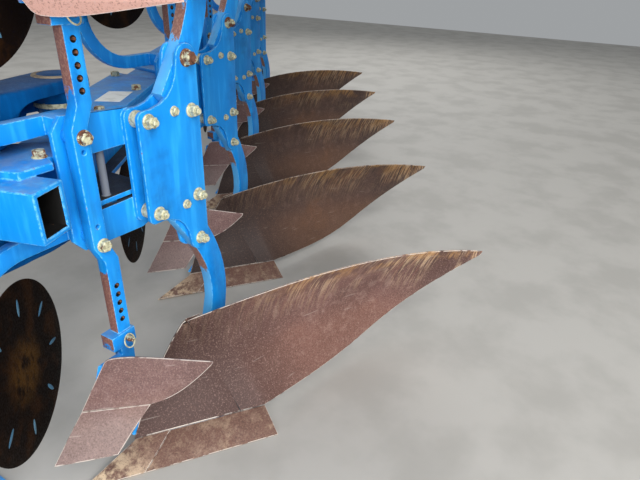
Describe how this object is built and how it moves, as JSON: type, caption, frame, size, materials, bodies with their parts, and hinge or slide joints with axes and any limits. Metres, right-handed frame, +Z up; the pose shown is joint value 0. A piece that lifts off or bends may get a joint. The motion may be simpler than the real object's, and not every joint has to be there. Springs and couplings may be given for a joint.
{
  "type": "mounted reversible plough",
  "caption": "Mounted reversible plough: diagonal square beam with lower and upper bodies, skimmers and disc coulters, turnover headstock, rear depth wheel and parking stand.",
  "frame": {"origin": "on the floor, in the middle of the plough's length and width", "axes": "+X forward along the travel, +Y to the left, +Z up"},
  "size_m": [6.5193, 4.2089, 1.96],
  "materials": {
    "blue_paint": "semi-gloss azure blue paint, worn to rust on edges",
    "black_paint": "dark oiled steel",
    "mouldboard_steel": "brown rusted steel with scour streaks",
    "share_steel": "rusted steel with light worn patches",
    "skimmer_steel": "pinkish brown rusted steel",
    "disc_steel": "very dark rusted steel with blue paint left in the ribs",
    "chromed_rod": "polished",
    "tyre": "matt black rubber"
  },
  "bodies": {
    "headstock": {"headstock": "blue_paint", "cross_shaft": "black_paint"},
    "frame": {"turnover_shaft": "blue_paint", "swing_arm": "blue_paint", "main_beam": "blue_paint", "socket_tube": "blue_paint", "stalks": "blue_paint", "coulter_arms": "blue_paint", "wheel_bracket": "blue_paint", "stand_socket": "blue_paint", "leg_plates_1": "blue_paint", "leg_plates_2": "blue_paint", "leg_plates_3": "blue_paint", "leg_plates_4": "blue_paint", "leg_plates_5": "blue_paint", "legs_1": "blue_paint", "legs_2": "blue_paint", "legs_3": "blue_paint", "legs_4": "blue_paint", "legs_5": "blue_paint", "mouldboards_1": "mouldboard_steel", "mouldboards_2": "mouldboard_steel", "mouldboards_3": "mouldboard_steel", "mouldboards_4": "mouldboard_steel", "mouldboards_5": "mouldboard_steel", "shares_1": "share_steel", "shares_2": "share_steel", "shares_3": "share_steel", "shares_4": "share_steel", "shares_5": "share_steel", "skimmers_1": "skimmer_steel", "skimmers_2": "skimmer_steel", "skimmers_3": "skimmer_steel", "skimmers_4": "skimmer_steel", "skimmers_5": "skimmer_steel"},
    "turnover_barrel": {"cylinder_barrel": "blue_paint"},
    "turnover_rod": {"cylinder_rod": "chromed_rod"},
    "wheel_arm": {"wheel_arm": "blue_paint"},
    "depth_wheel": {"wheel_rim": "blue_paint", "wheel_tyre": "tyre"},
    "stand": {"stand_leg": "blue_paint"},
    "coulter_low_1": {"disc_low_1": "disc_steel"},
    "coulter_high_1": {"disc_high_1": "disc_steel"},
    "coulter_low_2": {"disc_low_2": "disc_steel"},
    "coulter_high_2": {"disc_high_2": "disc_steel"},
    "coulter_low_3": {"disc_low_3": "disc_steel"},
    "coulter_high_3": {"disc_high_3": "disc_steel"},
    "coulter_low_4": {"disc_low_4": "disc_steel"},
    "coulter_high_4": {"disc_high_4": "disc_steel"},
    "coulter_low_5": {"disc_low_5": "disc_steel"},
    "coulter_high_5": {"disc_high_5": "disc_steel"}
  },
  "joints": [
    {"name": "turnover", "type": "hinge", "parent": "headstock", "child": "frame", "pos_m": [2.61, 1.203, 0.98], "axis": [-1, 0, 0], "range_deg": [0, 180]},
    {"name": "turnover_cylinder_swing", "type": "hinge", "parent": "headstock", "child": "turnover_barrel", "pos_m": [3.062, 1.203, 1.5], "axis": [1, 0, 0], "range_deg": [0, 30.14]},
    {"name": "turnover_cylinder_stroke", "type": "slide", "parent": "turnover_barrel", "child": "turnover_rod", "axis": [0, 0.26, 0.9656], "range_m": [0, 0.1585]},
    {"name": "wheel_arm_swing", "type": "hinge", "parent": "frame", "child": "wheel_arm", "pos_m": [-2.36, -1.669, 0.98], "axis": [0, 1, 0], "range_deg": [0, 97.69]},
    {"name": "wheel_spin", "type": "hinge", "parent": "wheel_arm", "child": "depth_wheel", "pos_m": [-2.91938, -1.994, 0.34], "axis": [0, 1, 0], "continuous": true},
    {"name": "stand_slide", "type": "slide", "parent": "frame", "child": "stand", "axis": [0, 0, 1], "range_m": [0, 0.45]},
    {"name": "coulter_low_1_spin", "type": "hinge", "parent": "frame", "child": "coulter_low_1", "pos_m": [2.304, 1.213, 0.5], "axis": [0.5878, -0.809, 0], "continuous": true},
    {"name": "coulter_high_1_spin", "type": "hinge", "parent": "frame", "child": "coulter_high_1", "pos_m": [2.27, 1.253, 1.52], "axis": [0.2079, -0.9781, 0], "continuous": true},
    {"name": "coulter_low_2_spin", "type": "hinge", "parent": "frame", "child": "coulter_low_2", "pos_m": [1.404, 0.633, 0.5], "axis": [0.5878, -0.809, 0], "continuous": true},
    {"name": "coulter_high_2_spin", "type": "hinge", "parent": "frame", "child": "coulter_high_2", "pos_m": [1.37, 0.673, 1.52], "axis": [0.2079, -0.9781, 0], "continuous": true},
    {"name": "coulter_low_3_spin", "type": "hinge", "parent": "frame", "child": "coulter_low_3", "pos_m": [0.504, 0.053, 0.5], "axis": [0.5878, -0.809, 0], "continuous": true},
    {"name": "coulter_high_3_spin", "type": "hinge", "parent": "frame", "child": "coulter_high_3", "pos_m": [0.47, 0.093, 1.52], "axis": [0.2079, -0.9781, 0], "continuous": true},
    {"name": "coulter_low_4_spin", "type": "hinge", "parent": "frame", "child": "coulter_low_4", "pos_m": [-0.396, -0.527, 0.5], "axis": [0.5878, -0.809, 0], "continuous": true},
    {"name": "coulter_high_4_spin", "type": "hinge", "parent": "frame", "child": "coulter_high_4", "pos_m": [-0.43, -0.487, 1.52], "axis": [0.2079, -0.9781, 0], "continuous": true},
    {"name": "coulter_low_5_spin", "type": "hinge", "parent": "frame", "child": "coulter_low_5", "pos_m": [-1.296, -1.107, 0.5], "axis": [0.5878, -0.809, 0], "continuous": true},
    {"name": "coulter_high_5_spin", "type": "hinge", "parent": "frame", "child": "coulter_high_5", "pos_m": [-1.33, -1.067, 1.52], "axis": [0.2079, -0.9781, 0], "continuous": true}
  ],
  "couplings": [
    {"joint": "turnover_cylinder_swing", "follows": "turnover", "ratio": 0.16743}
  ]
}
